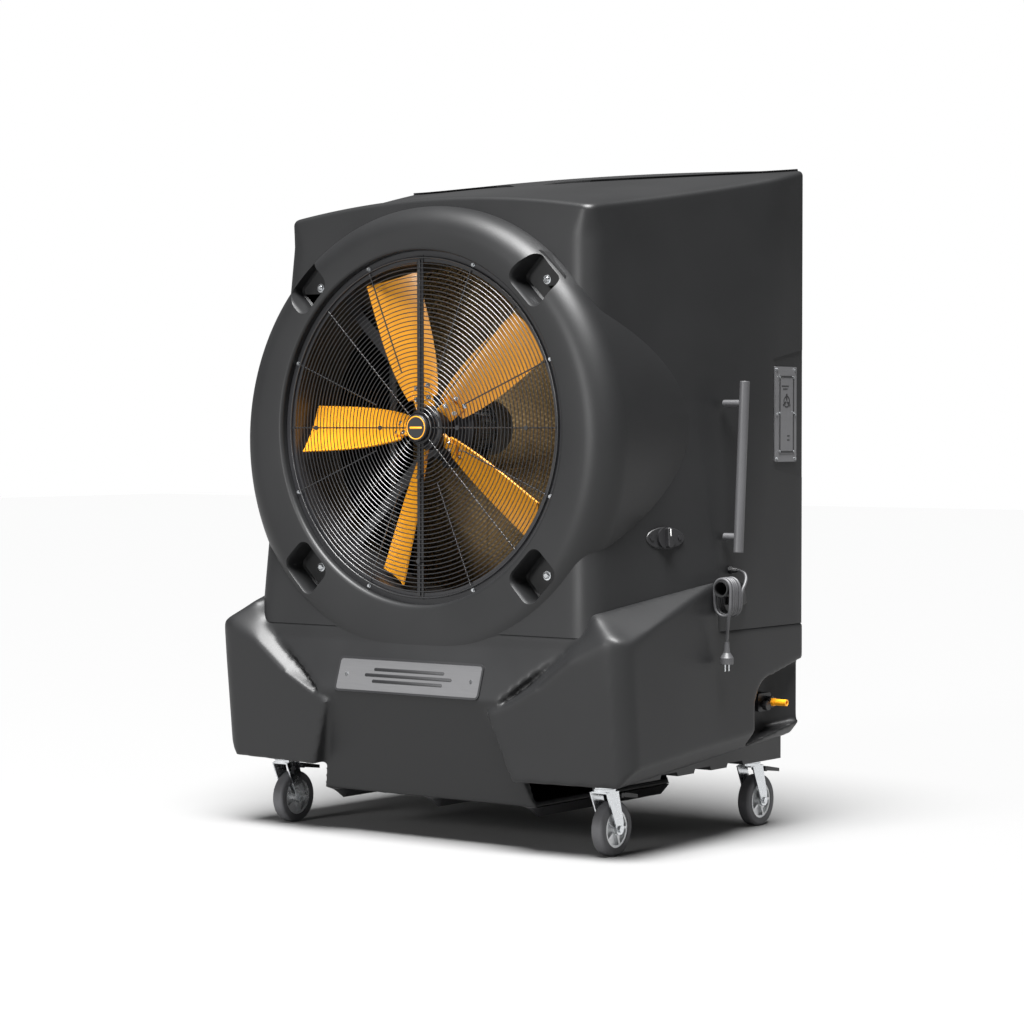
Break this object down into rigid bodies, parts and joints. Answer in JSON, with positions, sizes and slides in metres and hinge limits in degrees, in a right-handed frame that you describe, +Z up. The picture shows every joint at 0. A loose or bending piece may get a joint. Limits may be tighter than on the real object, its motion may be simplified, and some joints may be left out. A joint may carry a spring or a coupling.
{
  "type": "evaporative cooler",
  "caption": "Large wheeled evaporative cooler: moulded dark cabinet with water tank, domed guarded fan outlet, side handles, isolator switch, hose inlet and a coiled mains lead.",
  "frame": {"origin": "on the floor under the middle of the cooler", "axes": "+Z up, the fan blows towards -Y, +X is the side with the switch, cord and hose inlet"},
  "size_m": [1.5675, 1.0265, 1.9274],
  "materials": {
    "housing_plastic": "fine moulded grain",
    "black_plastic": "fine grain",
    "cellulose": "corrugated cellulose",
    "pipe_plastic": "smooth",
    "duct_paint": "satin black",
    "guard_wire": "satin black",
    "steel": "turned",
    "zinc": "bright zinc",
    "blade_orange": "satin",
    "motor_paint": "grey",
    "plate_aluminium": "brushed, anodised",
    "handle_paint": "powder coat",
    "cord_grey": "pvc sheath",
    "rim_grey": "cast",
    "tyre_rubber": "smooth"
  },
  "bodies": {
    "cabinet": {"upper_housing": "housing_plastic", "water_tank": "housing_plastic", "base_frame": "black_plastic", "skids": "black_plastic", "drain_plug": "black_plastic", "cooling_pads": "cellulose", "rear_grille": "black_plastic", "pad_tray": "black_plastic", "pump": "black_plastic", "spray_pipework": "pipe_plastic", "fan_duct": "duct_paint", "guard_rings": "guard_wire", "guard_spokes": "guard_wire", "guard_strap": "guard_wire", "guard_clips": "black_plastic", "guard_screws": "zinc", "guard_badge": "black_plastic", "motor_body": "motor_paint", "motor_cowl": "motor_paint", "motor_terminal_box": "black_plastic", "motor_mount": "duct_paint", "nameplate": "plate_aluminium", "cover_plate": "plate_aluminium", "cover_label": "plate_aluminium", "panel_screws": "zinc", "handle_right": "handle_paint", "handle_left": "handle_paint", "switch_flange": "black_plastic", "cable_hook": "housing_plastic", "cord_gland": "black_plastic", "power_cord": "cord_grey", "cord_coil": "cord_grey", "plug": "cord_grey", "plug_pins": "zinc", "inlet_valve": "black_plastic", "hose_barb": "blade_orange", "float_valve": "pipe_plastic", "caster_plates": "zinc"},
    "fan_rotor": {"fan_hub": "duct_paint", "fan_shaft": "steel", "fan_blades": "blade_orange"},
    "isolator_knob": {"switch_knob": "black_plastic"},
    "inlet_knob": {"valve_knob": "black_plastic"},
    "float": {"float_arm": "pipe_plastic"},
    "caster_front_right": {"fork_front_right": "zinc"},
    "wheel_front_right": {"wheel_rim_front_right": "rim_grey", "tyre_front_right": "tyre_rubber"},
    "brake_front_right": {"brake_pedal_front_right": "black_plastic"},
    "caster_front_left": {"fork_front_left": "zinc"},
    "wheel_front_left": {"wheel_rim_front_left": "rim_grey", "tyre_front_left": "tyre_rubber"},
    "brake_front_left": {"brake_pedal_front_left": "black_plastic"},
    "caster_rear_right": {"fork_rear_right": "zinc"},
    "wheel_rear_right": {"wheel_rim_rear_right": "rim_grey", "tyre_rear_right": "tyre_rubber"},
    "brake_rear_right": {"brake_pedal_rear_right": "black_plastic"},
    "caster_rear_left": {"fork_rear_left": "zinc"},
    "wheel_rear_left": {"wheel_rim_rear_left": "rim_grey", "tyre_rear_left": "tyre_rubber"},
    "brake_rear_left": {"brake_pedal_rear_left": "black_plastic"}
  },
  "joints": [
    {"name": "fan_spin", "type": "hinge", "parent": "cabinet", "child": "fan_rotor", "pos_m": [0, -0.382, 1.165], "axis": [0, -1, 0], "continuous": true},
    {"name": "isolator_turn", "type": "hinge", "parent": "cabinet", "child": "isolator_knob", "pos_m": [0.65313, -0.18295, 0.86326], "axis": [0.9449, -0.316, 0.0857], "range_deg": [-90, 0]},
    {"name": "inlet_knob_turn", "type": "hinge", "parent": "cabinet", "child": "inlet_knob", "pos_m": [0.684, 0.293, 0.369], "axis": [1, 0, 0], "range_deg": [0, 270]},
    {"name": "float_swing", "type": "hinge", "parent": "cabinet", "child": "float", "pos_m": [0.56, 0.325, 0.38], "axis": [0, 1, 0], "range_deg": [-12, 8]},
    {"name": "swivel_front_right", "type": "hinge", "parent": "cabinet", "child": "caster_front_right", "pos_m": [0.572, -0.351, 0.19], "axis": [0, 0, 1], "continuous": true},
    {"name": "roll_front_right", "type": "hinge", "parent": "caster_front_right", "child": "wheel_front_right", "pos_m": [0.572, -0.316, 0.075], "axis": [1, 0, 0], "continuous": true},
    {"name": "brake_press_front_right", "type": "hinge", "parent": "caster_front_right", "child": "brake_front_right", "pos_m": [0.572, -0.296, 0.165], "axis": [-1, 0, 0], "range_deg": [0, 6]},
    {"name": "swivel_front_left", "type": "hinge", "parent": "cabinet", "child": "caster_front_left", "pos_m": [-0.572, -0.351, 0.19], "axis": [0, 0, 1], "continuous": true},
    {"name": "roll_front_left", "type": "hinge", "parent": "caster_front_left", "child": "wheel_front_left", "pos_m": [-0.572, -0.316, 0.075], "axis": [1, 0, 0], "continuous": true},
    {"name": "brake_press_front_left", "type": "hinge", "parent": "caster_front_left", "child": "brake_front_left", "pos_m": [-0.572, -0.296, 0.165], "axis": [-1, 0, 0], "range_deg": [0, 6]},
    {"name": "swivel_rear_right", "type": "hinge", "parent": "cabinet", "child": "caster_rear_right", "pos_m": [0.572, 0.395, 0.19], "axis": [0, 0, 1], "continuous": true},
    {"name": "roll_rear_right", "type": "hinge", "parent": "caster_rear_right", "child": "wheel_rear_right", "pos_m": [0.572, 0.43, 0.075], "axis": [1, 0, 0], "continuous": true},
    {"name": "brake_press_rear_right", "type": "hinge", "parent": "caster_rear_right", "child": "brake_rear_right", "pos_m": [0.572, 0.45, 0.165], "axis": [-1, 0, 0], "range_deg": [0, 6]},
    {"name": "swivel_rear_left", "type": "hinge", "parent": "cabinet", "child": "caster_rear_left", "pos_m": [-0.572, 0.395, 0.19], "axis": [0, 0, 1], "continuous": true},
    {"name": "roll_rear_left", "type": "hinge", "parent": "caster_rear_left", "child": "wheel_rear_left", "pos_m": [-0.572, 0.43, 0.075], "axis": [1, 0, 0], "continuous": true},
    {"name": "brake_press_rear_left", "type": "hinge", "parent": "caster_rear_left", "child": "brake_rear_left", "pos_m": [-0.572, 0.45, 0.165], "axis": [-1, 0, 0], "range_deg": [0, 6]}
  ]
}
